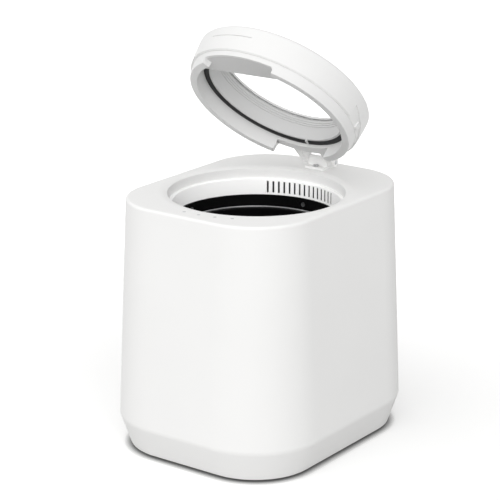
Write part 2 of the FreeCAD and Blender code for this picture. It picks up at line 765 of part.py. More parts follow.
def output_shaft():
    return at_opening(disc(SHAFT_RADIUS, gear_floor_z - WALL, LINER_FLOOR_Z + SHAFT_BUSH_FLANGE + FIT))


def shaft_bush():
    inner = SHAFT_RADIUS + RUNNING_FIT
    face = [(inner, chassis_z), (SHAFT_BUSH_RADIUS, chassis_z), (SHAFT_BUSH_RADIUS, LINER_FLOOR_Z),
            (shaft_bush_flange_radius, LINER_FLOOR_Z), (shaft_bush_flange_radius, LINER_FLOOR_Z + SHAFT_BUSH_FLANGE),
            (inner, LINER_FLOOR_Z + SHAFT_BUSH_FLANGE)]
    return at_opening(turned(face))


def chassis():
    plate = ring(SHAFT_BUSH_RADIUS, chassis_radius, chassis_z, LINER_FLOOR_Z)
    post = disc(CHASSIS_POST_RADIUS, base_top_z, chassis_z, chassis_post_circle, 0)
    posts = [turned_by(one, quarter_turn * half_share) for one in around(len(corner_signs), post)]
    return at_opening(joined([plate] + posts))


def involute_point(base_circle, radius, start):
    """Point of an involute at a radius, turned by a start angle."""
    reach = math.acos(min(1, base_circle / radius))
    turn = start + math.tan(reach) - reach
    return radius * math.cos(turn), radius * math.sin(turn)


def gear(teeth, low, high, bore):
    """Straight spur gear with short involute teeth; tooth 0 points along +X."""
    pitch = GEAR_MODULE * teeth * half_share
    base_circle = pitch * math.cos(math.radians(PRESSURE_ANGLE))
    tip = pitch + GEAR_MODULE * ADDENDUM_SHARE
    root = pitch - GEAR_MODULE * DEDENDUM_SHARE
    lowest = max(root, base_circle)
    reach = math.acos(base_circle / pitch)
    half_tooth = (math.pi * GEAR_MODULE * half_share - BACKLASH) * half_share / pitch
    start = -half_tooth - (math.tan(reach) - reach)
    rise = (tip - lowest) / flank_steps
    flank = [involute_point(base_circle, lowest + rise * i, start) for i in range(flank_steps + 1)]
    foot_turn = math.atan2(flank[0][1], flank[0][0])
    if root < lowest:
        flank = [(root * math.cos(foot_turn), root * math.sin(foot_turn))] + flank
    tooth = flank + [(x, -y) for x, y in reversed(flank)]
    points = []
    for i in range(teeth):
        turn = math.radians(full_turn * i / teeth)
        for x, y in tooth:
            points.append(V(x * math.cos(turn) - y * math.sin(turn), x * math.sin(turn) + y * math.cos(turn), low))
    body = Part.Face(Part.makePolygon(points + points[:1])).extrude(Z_AXIS * (high - low))
    return body.cut(disc(bore, low - OVERRUN, high + OVERRUN))


def output_gear():
    wheel = gear(GEAR_TEETH, gear_floor_z, gear_top_z - FIT, SHAFT_RADIUS)
    hub = ring(SHAFT_RADIUS, GEAR_HUB_RADIUS, gear_floor_z - WALL, gear_top_z - FIT)
    pitch = GEAR_MODULE * GEAR_TEETH * half_share
    middle = (pitch + GEAR_HUB_RADIUS) * half_share
    hole = disc(GEAR_WEB_HOLE_RADIUS, gear_floor_z - OVERRUN, gear_top_z + OVERRUN, middle, 0)
    wheel = wheel.cut(Part.Compound(around(GEAR_WEB_HOLE_COUNT, hole)))
    return at_opening(joined([wheel, hub]))


def motor_pinion():
    pinion = gear(PINION_TEETH, gear_floor_z, gear_top_z - FIT, MOTOR_SHAFT_RADIUS)
    pinion = turned_by(pinion, full_turn / PINION_TEETH * half_share)
    pinion.translate(V(0, motor_y, 0))
    return pinion


def motor_shaft():
    return disc(MOTOR_SHAFT_RADIUS, motor_top_z - WALL, gear_top_z, 0, motor_y)


def gear_motor():
    can = turned([(0, base_top_z), (MOTOR_RADIUS, base_top_z), (MOTOR_RADIUS, motor_top_z), (0, motor_top_z)],
                 {2: MOTOR_ROUND})
    half_width = MOTOR_FOOT_WIDTH * half_share
    half_depth = MOTOR_FOOT_DEPTH * half_share
    foot = block(-half_width, half_width, -half_depth, half_depth, base_top_z, base_top_z + MOTOR_FOOT_THICKNESS)
    body = joined([can, foot])
    body = body.cut(disc(MOTOR_SHAFT_RADIUS + RUNNING_FIT, motor_top_z - WALL - FIT, motor_top_z + OVERRUN))
    body.translate(V(0, motor_y, 0))
    return body


# Air path


def at_fan(shape):
    moved = shape.copy()
    moved.translate(V(0, fan_middle_y, sleeve_top_z))
    return moved


def fan_frame():
    half = fan_size * half_share
    frame = block(-half, half, -half, half, 0, FAN_DEPTH)
    upright = [edge for edge in frame.Edges if edge.BoundBox.ZLength > half_share * FAN_DEPTH]
    frame = frame.makeFillet(MOTOR_ROUND, upright)
    frame = frame.cut(disc(fan_bore_radius, -OVERRUN, FAN_DEPTH + OVERRUN))
    mount = disc(FAN_HUB_RADIUS, 0, FAN_MOUNT_THICKNESS)
    spindle = disc(FAN_SPINDLE_RADIUS, 0, FAN_DEPTH - FAN_MOUNT_THICKNESS)
    wide = FAN_SPOKE_WIDTH * half_share
    spoke = block(0, fan_bore_radius + FIT, -wide, wide, 0, FAN_MOUNT_THICKNESS)
    return at_fan(joined([frame, mount, spindle] + around(FAN_SPOKE_COUNT, spoke)))


def fan_rotor():
    low = FAN_MOUNT_THICKNESS + FIT
    high = FAN_DEPTH - FIT
    hub = turned([(0, low), (FAN_HUB_RADIUS, low), (FAN_HUB_RADIUS, high), (0, high)], {2: MOTOR_ROUND * half_share})
    well = disc(FAN_SPINDLE_RADIUS + RUNNING_FIT, low - OVERRUN, FAN_DEPTH - FAN_MOUNT_THICKNESS + FIT)
    chord = FAN_BLADE_CHORD * half_share
    thick = FAN_BLADE_THICKNESS * half_share
    blade = block(FAN_HUB_RADIUS * half_share, fan_bore_radius - FAN_TIP_GAP, -chord, chord, -thick, thick)
    blade = turned_by(blade, FAN_BLADE_PITCH, ORIGIN, X_AXIS)
    blade.translate(Z_AXIS * ((low + high) * half_share))
    blades = [one.common(disc(fan_bore_radius - FAN_TIP_GAP, low, high)) for one in around(FAN_BLADE_COUNT, blade)]
    return at_fan(joined([hub] + blades).cut(well))


def air_duct():
    """Hood from the slits behind the opening down onto the fan."""
    rear = fan_rear_y
    front = opening_y + collar_radius * half_share
    top = deck_under_z - WALL - DUCT_SEAT_GAP
    outer = block(-DUCT_HALF_WIDTH, DUCT_HALF_WIDTH, front, rear, fan_top_z, top)
    inner = block(-DUCT_HALF_WIDTH + DUCT_WALL, DUCT_HALF_WIDTH - DUCT_WALL, front - OVERRUN, rear - DUCT_WALL,
                  fan_top_z + DUCT_WALL, top - DUCT_WALL)
    clear = at_opening(disc(recess_outer + FIT, fan_top_z - OVERRUN, top + OVERRUN))
    mouth = disc(fan_bore_radius, fan_top_z - OVERRUN, fan_top_z + DUCT_WALL + OVERRUN, 0, fan_middle_y)
    return outer.cut(Part.Compound([inner, clear, mouth]))


def filter_sleeve():
    """Guide box for the filter drawer; its open end meets the rear wall."""
    half = FILTER_SLEEVE_HALF_WIDTH
    low = sleeve_floor_z
    rear = core_half_depth + bulge_corner
    outer = block(-half, half, sleeve_front_y, rear, low, sleeve_top_z)
    wall = FILTER_SLEEVE_WALL
    inner = block(-half + wall, half - wall, sleeve_front_y + wall, rear + OVERRUN,
                  low + wall, sleeve_top_z - wall)
    mouth = disc(fan_bore_radius, sleeve_top_z - OVERRUN, sleeve_top_z + OVERRUN, 0, fan_middle_y)
    return outer.cut(Part.Compound([inner, mouth])).common(body_form(WALL))


def filter_drawer():
    """Tray with a rear panel that lies flush in the body's wall."""
    form = drawer_window(0).common(body_form(0))
    box = form.BoundBox
    wall = DRAWER_WALL
    rear = core_half_depth + wall_radius(box.ZMax) - DRAWER_PANEL - WALL
    room = block(box.XMin + wall, box.XMax - wall, box.YMin + wall, rear, box.ZMin + wall, box.ZMax + OVERRUN)
    above = block(box.XMin - OVERRUN, box.XMax + OVERRUN, box.YMin - OVERRUN, rear,
                  box.ZMin + tray_height, box.ZMax + OVERRUN)
    grip_top = box.ZMax - GRIP_DROP
    grip_low = grip_top - GRIP_HEIGHT
    back = box.YMax - GRIP_DEPTH
    pull = block(-GRIP_HALF_WIDTH, GRIP_HALF_WIDTH, back, box.YMax + OVERRUN, grip_low, grip_top)
    pocket = block(-GRIP_HALF_WIDTH - wall, GRIP_HALF_WIDTH + wall, back - wall, rear + FIT,
                   grip_low - wall, grip_top + wall)
    slots = []
    half = EXHAUST_WIDTH * half_share
    for i in range(EXHAUST_COUNT):
        z = box.ZMin + EXHAUST_FLOOR_GAP + exhaust_pitch * i
        slots.append(block(-half, half, rear - OVERRUN, box.YMax + OVERRUN, z, z + EXHAUST_HEIGHT))
    tray = form.cut(Part.Compound([room, above])).fuse(pocket)
    return tray.cut(Part.Compound([pull] + slots)).removeSplitter()


def filter_cartridge():
    box = drawer_window(0).common(body_form(0)).BoundBox
    gap = DRAWER_WALL + CARTRIDGE_GAP
    rear = core_half_depth + wall_radius(box.ZMax) - DRAWER_PANEL - WALL - CARTRIDGE_GAP - GRIP_DEPTH
    low = box.ZMin + DRAWER_WALL
    body = block(box.XMin + gap, box.XMax - gap, box.YMin + gap, rear, low, low + cartridge_height)
    return body.makeFillet(LIP_ROUND, [edge for edge in body.Edges if edge.BoundBox.ZLength > GRIP_HEIGHT])


# Electrics


def inlet_face_y():
    return core_half_depth + wall_radius(inlet_z) - INLET_SET_BACK


def power_inlet():
    half_width = INLET_WIDTH * half_share
    half_height = INLET_HEIGHT * half_share
    front = inlet_face_y()
    body = block(-half_width, half_width, front - INLET_DEPTH, front, inlet_z - half_height, inlet_z + half_height)
    grow = INLET_FLANGE
    inside = core_half_depth + bulge_corner
    flange = block(-half_width - grow, half_width + grow, front - WALL - INLET_FLANGE_THICKNESS, inside,
                   inlet_z - half_height - grow, inlet_z + half_height + grow).common(body_form(WALL))
    wall = INLET_WALL
    room = block(-half_width + wall, half_width - wall, front - INLET_DEPTH + INLET_FLOOR, front + OVERRUN,
                 inlet_z - half_height + wall, inlet_z + half_height - wall)
    return joined([body, flange]).cut(room)


def inlet_pins():
    root = inlet_face_y() - INLET_DEPTH + INLET_FLOOR
    wide = PIN_WIDTH * half_share
    tall = PIN_HEIGHT * half_share
    pins = []
    for x, z in ((-PIN_SPACING, -PIN_OFFSET), (0, PIN_OFFSET), (PIN_SPACING, -PIN_OFFSET)):
        pins.append(block(x - wide, x + wide, root, root + PIN_LENGTH, inlet_z + z - tall, inlet_z + z + tall))
    return group(pins)


def board_floor_z():
    return base_top_z + STANDOFF_HEIGHT


def main_board():
    half_width = BOARD_WIDTH * half_share
    half_depth = BOARD_DEPTH * half_share
    return block(-half_width, half_width, board_y - half_depth, board_y + half_depth,
                 board_floor_z(), board_floor_z() + BOARD_THICKNESS)


def board_standoffs():
    posts = []
    for sx, sy in corner_signs:
        x = sx * (BOARD_WIDTH * half_share - STANDOFF_INSET)
        y = board_y + sy * (BOARD_DEPTH * half_share - STANDOFF_INSET)
        posts.append(disc(STANDOFF_RADIUS, base_top_z, board_floor_z(), x, y))
    return group(posts)


def board_parts():
    """Transformer, relay and capacitors as plain blocks and cans on the board."""
    low = board_floor_z() + BOARD_THICKNESS
    pieces = []
    for x, shift, width, depth, height in (
            (TRANSFORMER_X, TRANSFORMER_SHIFT, TRANSFORMER_WIDTH, TRANSFORMER_DEPTH, TRANSFORMER_HEIGHT),
            (RELAY_X, RELAY_SHIFT, RELAY_WIDTH, RELAY_DEPTH, RELAY_HEIGHT)):
        wide = width * half_share
        deep = depth * half_share
        y = board_y + shift
        pieces.append(block(x - wide, x + wide, y - deep, y + deep, low, low + height))
    for x in CAN_PLACES:
        pieces.append(disc(CAN_RADIUS, low, low + CAN_HEIGHT, x, board_y + CAN_SHIFT))
    return group(pieces)


def control_board():
    top = top_z - CONTROL_GAP
    return block(-control_half_width, control_half_width, control_front_y, control_rear_y,
                 top - BOARD_THICKNESS, top)


def touch_marks():
    """Flush light guides of the touch keys, from the control board to the deck."""
    return group([disc(MARK_RADIUS, top_z - CONTROL_GAP, top_z, x, y) for x, y in mark_spots()])


# Lid, drawn closed about its seam circle


def opened(shape):
    """Put a lid piece on the body and turn it open about the hinge pin."""
    moved = shape.copy()
    moved.translate(V(0, opening_y, seam_z))
    moved.rotate(V(0, hinge_y, hinge_z), X_AXIS, -LID_OPEN_ANGLE)
    return moved


def crown_edge(radius, rise, width, height):
    """Quarter ellipse that rounds the lid's top edge, as a curve in the XZ plane."""
    centre = V(radius - width, 0, rise)
    if width > height:
        curve = Part.Ellipse(centre + V(width, 0, 0), centre + V(0, 0, height), centre)
    else:
        curve = Part.Ellipse(centre + V(0, 0, height), centre + V(width, 0, 0), centre)
    first = curve.parameter(centre + V(width, 0, 0))
    last = curve.parameter(centre + V(0, 0, height))
    edge = curve.toShape(min(first, last), max(first, last))
    return edge


def lid_flank_point(inset, rise):
    """Point on the lid's bowed outer wall, which runs upright into the crown."""
    sweep = lid_flank_radius - inset
    drop = LID_BULGE_RISE - rise
    return V(lid_bulge_radius - lid_flank_radius + math.sqrt((sweep - drop) * (sweep + drop)), 0, rise)


def lid_profile(inset, low, inner):
    """Face between the lid's outer curve, shrunk by an inset, and an inner radius."""
    radius = lid_bulge_radius - inset
    height = lid_height - LID_BULGE_RISE - inset
    edge = crown_edge(radius, LID_BULGE_RISE, LID_CROWN_WIDTH - inset, height)
    peak = LID_BULGE_RISE + height
    shoulder = lid_bulge_radius - LID_CROWN_WIDTH
    rises = (low, (low + LID_BULGE_RISE) * half_share, LID_BULGE_RISE)
    flank = [lid_flank_point(inset, rise) for rise in rises]
    corners = [V(shoulder, 0, peak), V(inner, 0, peak), V(inner, 0, low), flank[0]]
    lines = [Part.makeLine(a, b) for a, b in zip(corners, corners[1:])]
    return Part.Face(Part.Wire(Part.__sortEdges__([edge, Part.Arc(*flank).toShape()] + lines)))


def lid_form(inset):
    """Solid of the lid's outside, shrunk by an inset, from the seam upwards."""
    return lid_profile(inset, 0, 0).revolve(ORIGIN, Z_AXIS, full_turn)


def window_top():
    return lid_height - LID_WALL


def side_scoops():
    """Shallow wedge-shaped recess low on each side of the dome, with one flush tab left standing in it."""
    skin = lid_form(0).cut(lid_form(SCOOP_DEPTH))
    corners = [V(0, 0, -OVERRUN), V(0, 0, SCOOP_HEIGHT), V(0, SCOOP_LENGTH, 0), V(0, SCOOP_LENGTH, -OVERRUN)]
    wedge = Part.Face(Part.makePolygon(corners + corners[:1])).extrude(X_AXIS * (lid_bulge_radius + OVERRUN))
    middle = (SCOOP_TAB_START + SCOOP_TAB_END) * half_share
    tab = sector(lid_seam_radius - LID_WALL - OVERRUN, lid_bulge_radius + OVERRUN, -OVERRUN, SCOOP_TAB_HEIGHT,
                 middle, (SCOOP_TAB_END - SCOOP_TAB_START) * half_share)
    right = skin.common(wedge.cut(tab))
    return [right, right.mirror(ORIGIN, X_AXIS)]


def lid_dome():
    inside = lid_form(LID_WALL)
    hole = disc(inner_ring_top_radius, -OVERRUN, lid_height + OVERRUN)
    groove = ring(lid_seam_radius - SEAM_GROOVE, lid_seam_radius + OVERRUN, -OVERRUN, SEAM_GROOVE)
    line = sector(lid_bulge_radius - GRIP_LINE_DEPTH - GRIP_LINE_DEPTH, lid_bulge_radius + OVERRUN,
                  GRIP_LINE_RISE, GRIP_LINE_RISE + GRIP_LINE_DEPTH, -quarter_turn - GRIP_LINE_SHIFT,
                  GRIP_LINE_HALF_SPAN)
    relief = sector(lid_seam_radius - LID_WALL - OVERRUN, lid_bulge_radius + OVERRUN, -OVERRUN, HINGE_RELIEF_RISE,
                    quarter_turn, HINGE_NOTCH_HALF_SPAN)
    dome = lid_form(0).cut(Part.Compound([inside, hole, groove, line]))
    return dome.cut(Part.Compound(side_scoops() + [relief]))


def finger_notch():
    """Cut-out in the skirt's front with rounded upper corners, and a seat for the pocket's floor in its inner wall."""
    wedge = sector(skirt_inner_radius - OVERRUN, skirt_seam_radius + OVERRUN, -SKIRT_DEPTH - OVERRUN, -NOTCH_CEILING,
                   -quarter_turn, NOTCH_HALF_SPAN)
    corners = [edge for edge in wedge.Edges
               if edge.BoundBox.ZMin > -NOTCH_CEILING - FIT and edge.Curve.TypeId == "Part::GeomLine"]
    seat = sector(skirt_inner_radius - OVERRUN, skirt_inner_radius + LID_WALL + FIT, -NOTCH_CEILING - FIT,
                  -NOTCH_CEILING + NOTCH_PLATE, -quarter_turn, NOTCH_HALF_SPAN)
    return [wedge.makeFillet(NOTCH_ROUND, corners), seat]


def hinge_notch():
    """Cut-out in the skirt's rear, up past the seam, that clears the hinge."""
    return sector(skirt_inner_radius - OVERRUN, skirt_seam_radius + OVERRUN, -SKIRT_DEPTH - OVERRUN, HINGE_NOTCH_RISE,
                  quarter_turn, HINGE_NOTCH_HALF_SPAN)


def notch_cheeks():
    """Solid ends that close the hollow skirt at both sides of its two cut-outs."""
    body = turned([(skirt_inner_radius, -SKIRT_DEPTH), (skirt_rim_radius, -SKIRT_DEPTH), (skirt_seam_radius, 0),
                   (skirt_inner_radius, 0)], {0: SKIRT_RIM_ROUND, 1: SKIRT_RIM_ROUND})
    half = NOTCH_CHEEK_SPAN * half_share
    cheeks = []
    for middle, span in ((-quarter_turn, NOTCH_HALF_SPAN), (quarter_turn, HINGE_NOTCH_HALF_SPAN)):
        for side in sides:
            cut = sector(skirt_inner_radius - OVERRUN, skirt_seam_radius + OVERRUN, -SKIRT_DEPTH - OVERRUN, OVERRUN,
                         middle + side * (span + half), half)
            cheeks.append(body.common(cut))
    return cheeks


def lid_skirt():
    wall = LID_WALL
    low = -SKIRT_DEPTH
    face = [(skirt_inner_radius, low), (skirt_rim_radius, low), (skirt_seam_radius, 0),
            (skirt_seam_radius - wall, 0), (skirt_rim_radius - wall, low + wall),
            (skirt_inner_radius + wall, low + wall), (skirt_inner_radius + wall, SKIRT_INNER_RISE),
            (skirt_inner_radius, SKIRT_INNER_RISE)]
    skirt = turned(face, {0: SKIRT_RIM_ROUND, 1: SKIRT_RIM_ROUND})
    roof = sector(skirt_inner_radius + FIT, lid_seam_radius - wall - FIT, HINGE_NOTCH_RISE,
                  HINGE_NOTCH_RISE + NOTCH_PLATE, quarter_turn, HINGE_NOTCH_HALF_SPAN)
    skirt = skirt.cut(Part.Compound([hinge_notch()])).cut(Part.Compound(finger_notch()))
    return joined([skirt, roof] + notch_cheeks())


def lid_inner_ring():
    """Inner wall of the lid, stepped towards the window, with a flange onto the skirt."""
    top = window_top() - WINDOW_THICKNESS
    outer = gasket_inner_radius
    face = [(inner_ring_radius, inner_ring_foot), (outer, inner_ring_foot), (outer, SKIRT_INNER_RISE),
            (lid_seam_radius - LID_WALL, SKIRT_INNER_RISE), (lid_seam_radius - LID_WALL, SKIRT_INNER_RISE + LID_WALL),
            (outer, SKIRT_INNER_RISE + LID_WALL), (outer, window_top()), (window_radius + FIT, window_top()),
            (window_radius + FIT, top)]
    steps = []
    for i in range(STEP_COUNT):
        low = top - STEP_HEIGHT * (i + 1)
        radius = inner_ring_top_radius + STEP_WIDTH * i
        steps.append((radius, low + STEP_HEIGHT))
        steps.append((radius, low))
    face = face + steps + [(inner_ring_top_radius + STEP_WIDTH * STEP_COUNT, top - STEP_HEIGHT * STEP_COUNT)]
    return joined([turned(face)] + gasket_clip())


def gasket_clip():
    """Small clip at the ring's rear that laps over the gasket's edge."""
    high = gasket_bottom - FIT
    low = high - CLIP_HEIGHT
    riser = sector(inner_ring_radius, gasket_inner_radius, low, inner_ring_foot, CLIP_PLACE, CLIP_HALF_SPAN)
    tongue = sector(inner_ring_radius, gasket_inner_radius + CLIP_REACH, low, high, CLIP_PLACE, CLIP_HALF_SPAN)
    return [riser, tongue]


def lid_window():
    return disc(window_radius, window_top() - WINDOW_THICKNESS, window_top())


def lid_gasket():
    """Black seal seated between the inner ring, its flange and the skirt's inner wall."""
    lip = gasket_inner_radius + (skirt_inner_radius - gasket_inner_radius) * GASKET_LIP_SHARE
    face = [(gasket_inner_radius, inner_ring_foot), (lip, gasket_bottom), (skirt_inner_radius, gasket_bottom),
            (skirt_inner_radius, SKIRT_INNER_RISE), (gasket_inner_radius, SKIRT_INNER_RISE)]
    return turned(face)


def lid_pocket():
    """Straight-fronted housing inside the lid's front; its floor runs on as the roof of the finger notch."""
    low = -NOTCH_CEILING
    high = pocket_top
    body = disc(skirt_inner_radius, low, high)
    away = skirt_inner_radius + OVERRUN
    body = body.cut(block(-away, away, -pocket_chord, away, low - OVERRUN, high + OVERRUN))
    floor = sector(skirt_inner_radius - OVERRUN, notch_plate_radius, low, low + NOTCH_PLATE, -quarter_turn,
                   NOTCH_HALF_SPAN)
    return joined([body, floor])


def hinge_screw_reach():
    """Distance of the bracket's screws from the pin, so that their heads clear the knuckle."""
    return HINGE_KNUCKLE_RADIUS + SCREW_HEAD_RADIUS + FIT


def hinge_screw_spots():
    return [hinge_y - hinge_screw_reach(), hinge_y + hinge_screw_reach()]


def hinge_bracket():
    half = HINGE_KNUCKLE_HALF
    deep = hinge_screw_reach() + SCREW_HEAD_RADIUS + HINGE_FOOT_MARGIN
    foot = block(-half, half, hinge_y - deep, hinge_y + deep, top_z, top_z + HINGE_FOOT_HEIGHT)
    upright = [edge for edge in foot.Edges if edge.BoundBox.ZLength > HINGE_FOOT_HEIGHT * half_share]
    foot = foot.makeFillet(HINGE_FOOT_ROUND, upright)
    long = HINGE_KNUCKLE_HALF + HINGE_KNUCKLE_HALF
    barrel = Part.makeCylinder(HINGE_KNUCKLE_RADIUS, long, V(-HINGE_KNUCKLE_HALF, hinge_y, hinge_z), X_AXIS)
    stem = block(-HINGE_KNUCKLE_HALF, HINGE_KNUCKLE_HALF, hinge_y - HINGE_KNUCKLE_RADIUS,
                 hinge_y + HINGE_KNUCKLE_RADIUS, top_z, hinge_z)
    bore = Part.makeCylinder(HINGE_PIN_RADIUS, long, V(-HINGE_KNUCKLE_HALF, hinge_y, hinge_z), X_AXIS)
    holes = [disc(SCREW_SHANK_RADIUS, top_z - OVERRUN, top_z + OVERRUN, 0, y) for y in hinge_screw_spots()]
    return joined([foot, barrel, stem]).cut(Part.Compound([bore] + holes))


def hinge_screws():
    screws = []
    for y in hinge_screw_spots():
        head = disc(SCREW_HEAD_RADIUS, top_z + HINGE_FOOT_HEIGHT, top_z + HINGE_FOOT_HEIGHT + SCREW_HEAD_HEIGHT, 0, y)
        shank = disc(SCREW_SHANK_RADIUS, deck_under_z, top_z + HINGE_FOOT_HEIGHT, 0, y)
        screws.append(joined([head, shank]))
    return group(screws)


def hinge_pin():
    half = HINGE_KNUCKLE_HALF + FIT + HINGE_ARM_WIDTH
    return Part.makeCylinder(HINGE_PIN_RADIUS, half + half, V(-half, hinge_y, hinge_z), X_AXIS)


def hinge_arms():
    """Two arms from the lid's rear wall to the pin, one each side of the bracket."""
    arms = []
    for side in sides:
        near = side * (HINGE_KNUCKLE_HALF + FIT)
        far = near + side * HINGE_ARM_WIDTH
        x0 = min(near, far)
        x1 = max(near, far)
        low = hinge_local_z - HINGE_KNUCKLE_RADIUS
        high = hinge_local_z + HINGE_KNUCKLE_RADIUS
        arm = block(x0, x1, 0, hinge_local_y, low, high)
        eye = Part.makeCylinder(HINGE_KNUCKLE_RADIUS, HINGE_ARM_WIDTH, V(x0, hinge_local_y, hinge_local_z), X_AXIS)
        bore = Part.makeCylinder(HINGE_PIN_RADIUS + RUNNING_FIT, HINGE_ARM_WIDTH,
                                 V(x0, hinge_local_y, hinge_local_z), X_AXIS)
        arm = joined([arm, eye]).cut(bore)
        arms.append(arm.cut(lid_form(0)))
    return group(arms)


FIXED = {
    "outer_shell": outer_shell, "base_plate": base_plate, "feet": feet, "base_screws": base_screws,
    "top_cover": top_cover, "opening_collar": opening_collar, "well_liner": well_liner, "well_floor": well_floor,
    "liner_seal": liner_seal,
    "liner_rivets": liner_rivets, "heater_plate": heater_plate, "bucket": bucket,
    "bucket_rim_ring": bucket_rim_ring, "bucket_bush": bucket_bush, "chassis": chassis,
    "shaft_bush": shaft_bush, "gear_motor": gear_motor, "air_duct": air_duct, "fan_frame": fan_frame,
    "filter_sleeve": filter_sleeve, "power_inlet": power_inlet, "inlet_pins": inlet_pins,
    "main_board": main_board, "board_standoffs": board_standoffs, "board_parts": board_parts,
    "control_board": control_board, "touch_marks": touch_marks, "hinge_bracket": hinge_bracket,
    "hinge_screws": hinge_screws, "hinge_pin": hinge_pin,
}
MOVING = {
    "agitator": agitator, "drive_coupling": drive_coupling, "output_shaft": output_shaft,
    "output_gear": output_gear, "motor_pinion": motor_pinion, "motor_shaft": motor_shaft,
    "fan_rotor": fan_rotor, "filter_drawer": filter_drawer, "filter_cartridge": filter_cartridge,
}
LID = {
    "lid_dome": lid_dome, "lid_skirt": lid_skirt, "lid_inner_ring": lid_inner_ring, "lid_window": lid_window,
    "lid_gasket": lid_gasket, "lid_pocket": lid_pocket, "hinge_arms": hinge_arms,
}

os.makedirs("parts", exist_ok=True)
for name, make in list(FIXED.items()) + list(MOVING.items()):
    make().exportStep("parts/" + name + ".step")
for name, make in LID.items():
    opened(make()).exportStep("parts/" + name + ".step")
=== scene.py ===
import bpy
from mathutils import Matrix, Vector


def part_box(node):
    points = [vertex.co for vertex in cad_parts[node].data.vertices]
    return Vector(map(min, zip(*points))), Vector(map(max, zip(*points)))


# Kitchen composter with its lid standing open: materials, light, floor and camera. Metres, Z up.

# Camera at the photograph's viewing angle
CAMERA_PLACE = (1.27479, -1.76134, 0.88519)
CAMERA_TARGET = (-0.0106, -0.0077, 0.2163)
CAMERA_LENS = 145.0
CAMERA_SENSOR = 36.0

# Sky, brighter in front of the object than behind it, with how far from the side it reaches either level, and
# the white backdrop that direct rays see
WHITE_LIGHT = (1.0, 1.0, 1.0, 1.0)
SKY_FRONT_LEVEL = 1.30
SKY_REAR_LEVEL = 0.44
SKY_TURN = 0.7
BACKDROP_LEVEL = 1.0

# Soft round lamps: name, place, width and power. The fills light the opening's white wall alone.
LIGHT_TARGET = (0.0, 0.0, 0.18)
LAMPS = (
    ("key", (2.2, -2.2, 1.4), 2.0, 20.0),
)
OPENING_FILLS = (
    ("opening_right", (2.8, -1.0, 1.3), 2.0, 38.0),
    ("opening_left", (-1.4, -2.7, 1.5), 2.0, 30.0),
)
OPENING_FILL_NODES = ("opening_collar",)

# Floor: what it bounces, how it fades into the backdrop, and how it darkens close under the object
FLOOR_HALF = 30.0
FLOOR_DROP = 0.0003
FLOOR_COLOUR = (0.96, 0.96, 0.955)
FLOOR_ROUGHNESS = 0.9
FLOOR_BOUNCE_SHARE = 0.52
FLOOR_GLOW_NEAR = 0.17
FLOOR_GLOW_FAR = 0.60
FLOOR_FADE_START = 0.25
FLOOR_FADE_END = 1.3
CONTACT_REACH = 0.011
CONTACT_DARK_AT = 0.35
CONTACT_CLEAR_AT = 0.95
CONTACT_DARK_SHARE = 0.17
CONTACT_SAMPLES = 16

# Colours, as linear values
WHITE = (0.925, 0.923, 0.915)
# Painted light: the deck's top wears a lighter copy of the shell's white plastic
WHITE_DECK_PAINTED_LIGHT = (0.930, 0.928, 0.920)
# Painted shade: the lid wears a darker copy of the same white plastic
WHITE_LID_PAINTED_SHADE = (0.855, 0.854, 0.848)
# Painted light: the collar wears a lighter copy of the white plastic, for light its sunken wall does not get
WHITE_COLLAR_PAINTED_LIGHT = (0.940, 0.938, 0.932)
# Painted shade: the lid skirt, shaded under the open lid, wears a darker copy of the white plastic
WHITE_SKIRT_PAINTED_SHADE = (0.830, 0.829, 0.824)
# Painted shade: the lid's inner ring and pocket, in shade inside the lid, wear a much darker copy of the
# white plastic
WHITE_INNER_PAINTED_SHADE = (0.700, 0.700, 0.697)
WHITE_BASE = (0.780, 0.780, 0.775)
BLACK_COAT = (0.0022, 0.0022, 0.0024)
BLACK_RUBBER = (0.020, 0.020, 0.021)
BLACK_PLASTIC = (0.022, 0.022, 0.024)
GREY_PLASTIC = (0.30, 0.31, 0.32)
DUCT_GREY = (0.10, 0.10, 0.105)
CHARCOAL = (0.028, 0.028, 0.030)
STEEL = (0.56, 0.56, 0.57)
BRIGHT_STEEL = (0.66, 0.66, 0.67)
CAST_ALUMINIUM = (0.68, 0.69, 0.70)
BRASS = (0.62, 0.44, 0.17)
MOTOR_PAINT = (0.055, 0.058, 0.065)
BOARD_GREEN = (0.015, 0.095, 0.035)
NYLON = (0.74, 0.71, 0.62)
MARK_GREY = (0.58, 0.59, 0.60)
CLEAR = (0.96, 0.975, 0.98)

# Painted shade inside the collar's vent slits: how far behind the liner's outside it starts, its depth and
# its top
SLIT_SHADE = (0.030, 0.030, 0.031)
SLIT_SHADE_START = 0.0009
SLIT_SHADE_DEPTH = 0.0003
SLIT_SHADE_DROP = 0.0028

# Roughness of each material, and the gloss of those plastics that are duller than the rest
ROUGHNESS = {
    "white_satin": 0.62, "white_deck_painted_light": 0.66, "white_lid_painted_shade": 0.42, "white_slotted_painted_light_and_shade": 0.42,
    "white_skirt_painted_shade": 0.44, "white_inner_painted_shade": 0.46, "base_grey": 0.55, "grey_moulding": 0.50,
    "duct_moulding": 0.50, "black_moulding": 0.45, "mark_lens": 0.30, "gear_nylon": 0.50,
    "well_coat": 0.45, "bucket_coat": 0.38, "motor_coat": 0.40, "plain_steel": 0.35,
    "bright_edge": 0.30, "cast_aluminium": 0.45, "turned_brass": 0.30, "carbon": 0.80,
}
PLASTIC_GLOSS = 0.40
DULL_GLOSS = {"white_satin": 0.22, "white_deck_painted_light": 0.18}

